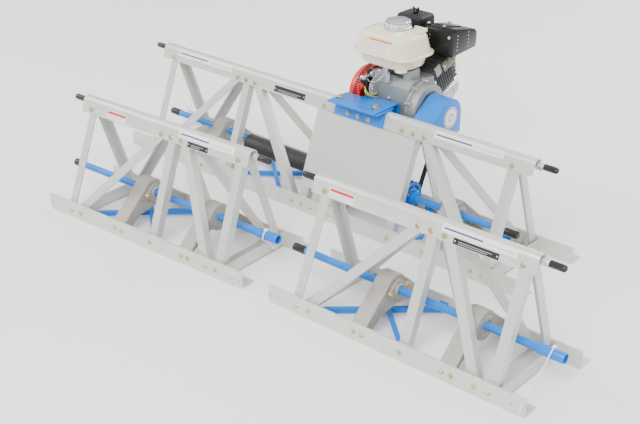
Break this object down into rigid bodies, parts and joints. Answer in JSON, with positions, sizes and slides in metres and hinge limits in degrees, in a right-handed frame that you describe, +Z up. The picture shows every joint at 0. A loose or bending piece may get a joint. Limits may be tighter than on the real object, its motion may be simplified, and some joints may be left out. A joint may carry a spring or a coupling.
{
  "type": "power screed",
  "caption": "Truss screed kit: an engine-driven section and loose extension sections, each an A-frame of angle braces under a round chord, with strike-off blades and an eccentric shaft.",
  "frame": {"origin": "middle of the kit's footprint at the height of the blades' undersides", "axes": "+X along the powered section's blades, away from the starter side; +Y from its leading blade to its trailing blade and engine; +Z up"},
  "size_m": [1.8202, 0.9254, 0.5693],
  "materials": {
    "mill_aluminium": "satin mill finish",
    "cast_aluminium": "rough sand cast",
    "blue_paint": "gloss",
    "zinc_plate": "zinc plated",
    "black_plastic": "satin",
    "black_paint": "gloss",
    "cream_tank": "gloss",
    "chrome": "polished",
    "red_cover": "gloss",
    "rubber": "matte",
    "engine_aluminium": "die cast",
    "black_enamel": "black heat-proof enamel"
  },
  "bodies": {
    "power_section": {"power_chord": "mill_aluminium", "power_front_blade": "mill_aluminium", "power_rear_blade": "mill_aluminium", "power_left_end_frame": "mill_aluminium", "power_right_end_frame": "mill_aluminium", "power_brace_pair_1": "mill_aluminium", "power_brace_pair_2": "mill_aluminium", "power_brace_pair_3": "mill_aluminium", "power_brace_pair_4": "mill_aluminium", "power_brace_pair_5": "mill_aluminium", "power_cross_brace_1": "blue_paint", "power_cross_brace_2": "blue_paint", "power_bearing_casting_1": "cast_aluminium", "power_bearing_casting_2": "cast_aluminium", "power_bearing_casting_3": "cast_aluminium", "front_panel": "mill_aluminium", "chord_saddle": "blue_paint", "engine_mount": "blue_paint", "drive_belt": "rubber", "belt_cover": "blue_paint", "engine_crankcase": "engine_aluminium", "engine_cylinder": "engine_aluminium", "fuel_tank": "cream_tank", "air_cleaner": "black_plastic", "muffler": "black_enamel", "recoil_cover": "red_cover", "carburettor": "engine_aluminium", "control_box": "black_plastic"},
    "left_extension": {"left_chord": "mill_aluminium", "left_front_blade": "mill_aluminium", "left_rear_blade": "mill_aluminium", "left_left_end_frame": "mill_aluminium", "left_middle_brace_pair": "mill_aluminium", "left_right_end_frame": "mill_aluminium", "left_cross_brace": "blue_paint", "left_bearing_casting_a": "cast_aluminium", "left_bearing_casting_b": "cast_aluminium"},
    "right_extension": {"right_chord": "mill_aluminium", "right_front_blade": "mill_aluminium", "right_rear_blade": "mill_aluminium", "right_left_end_frame": "mill_aluminium", "right_middle_brace_pair": "mill_aluminium", "right_right_end_frame": "mill_aluminium", "right_cross_brace": "blue_paint", "right_bearing_casting_a": "cast_aluminium", "right_bearing_casting_b": "cast_aluminium"},
    "power_shaft": {"power_eccentric_shaft": "blue_paint", "driven_pulley": "blue_paint"},
    "clutch": {"centrifugal_clutch": "engine_aluminium"},
    "guard": {"shaft_guard_tube": "black_plastic"},
    "power_rod": {"power_tie_rod": "zinc_plate"},
    "left_shaft": {"left_eccentric_shaft": "blue_paint"},
    "left_rod": {"left_tie_rod": "zinc_plate"},
    "right_shaft": {"right_eccentric_shaft": "blue_paint"},
    "right_rod": {"right_tie_rod": "zinc_plate"},
    "cap": {"fuel_cap": "chrome"},
    "filter_nut": {"air_cleaner_nut": "black_paint"},
    "grip": {"starter_grip": "black_plastic"},
    "lever": {"throttle_lever": "zinc_plate"},
    "switch": {"engine_switch": "red_cover"}
  },
  "joints": [
    {"name": "left_extension_lift", "type": "slide", "parent": "power_section", "child": "left_extension", "axis": [0, 0, 1], "range_m": [0, 0.2]},
    {"name": "right_extension_lift", "type": "slide", "parent": "power_section", "child": "right_extension", "axis": [0, 0, 1], "range_m": [0, 0.2]},
    {"name": "power_shaft_turn", "type": "hinge", "parent": "power_section", "child": "power_shaft", "pos_m": [-0.14805, 0.14112, 0.103], "axis": [1, 0, 0], "continuous": true},
    {"name": "clutch_turn", "type": "hinge", "parent": "power_section", "child": "clutch", "pos_m": [0.14895, 0.25612, 0.33], "axis": [1, 0, 0], "continuous": true},
    {"name": "left_shaft_turn", "type": "hinge", "parent": "left_extension", "child": "left_shaft", "pos_m": [-0.34948, -0.31994, 0.103], "axis": [0.9989, 0.0471, 0], "continuous": true},
    {"name": "right_shaft_turn", "type": "hinge", "parent": "right_extension", "child": "right_shaft", "pos_m": [0.50791, -0.2929, 0.103], "axis": [0.9999, 0.0131, 0], "continuous": true},
    {"name": "power_rod_turn", "type": "hinge", "parent": "power_section", "child": "power_rod", "pos_m": [-0.14805, 0.14112, 0.322], "axis": [1, 0, 0], "continuous": true},
    {"name": "left_rod_turn", "type": "hinge", "parent": "left_extension", "child": "left_rod", "pos_m": [-0.34948, -0.31994, 0.322], "axis": [0.9989, 0.0471, 0], "continuous": true},
    {"name": "right_rod_turn", "type": "hinge", "parent": "right_extension", "child": "right_rod", "pos_m": [0.50791, -0.2929, 0.322], "axis": [0.9999, 0.0131, 0], "continuous": true},
    {"name": "guard_tube_slide", "type": "slide", "parent": "power_section", "child": "guard", "axis": [1, 0, 0], "range_m": [-0.07, 0.012]},
    {"name": "fuel_cap_turn", "type": "hinge", "parent": "power_section", "child": "cap", "pos_m": [-0.00205, 0.26012, 0.55], "axis": [0, 0, 1], "range_deg": [0, 90]},
    {"name": "filter_nut_turn", "type": "hinge", "parent": "power_section", "child": "filter_nut", "pos_m": [-0.03405, 0.38612, 0.56], "axis": [0, 0, 1], "continuous": true},
    {"name": "starter_pull", "type": "slide", "parent": "power_section", "child": "grip", "axis": [0, 1, 0], "range_m": [0, 0.45], "stiffness_N_per_m": 20},
    {"name": "throttle_swing", "type": "hinge", "parent": "power_section", "child": "lever", "pos_m": [-0.03405, 0.19012, 0.414], "axis": [-1, 0, 0], "range_deg": [0, 35]},
    {"name": "switch_turn", "type": "hinge", "parent": "power_section", "child": "switch", "pos_m": [-0.05305, 0.16512, 0.38], "axis": [0, 1, 0], "range_deg": [0, 90]}
  ],
  "couplings": [
    {"joint": "clutch_turn", "follows": "power_shaft_turn", "ratio": 1.204}
  ]
}
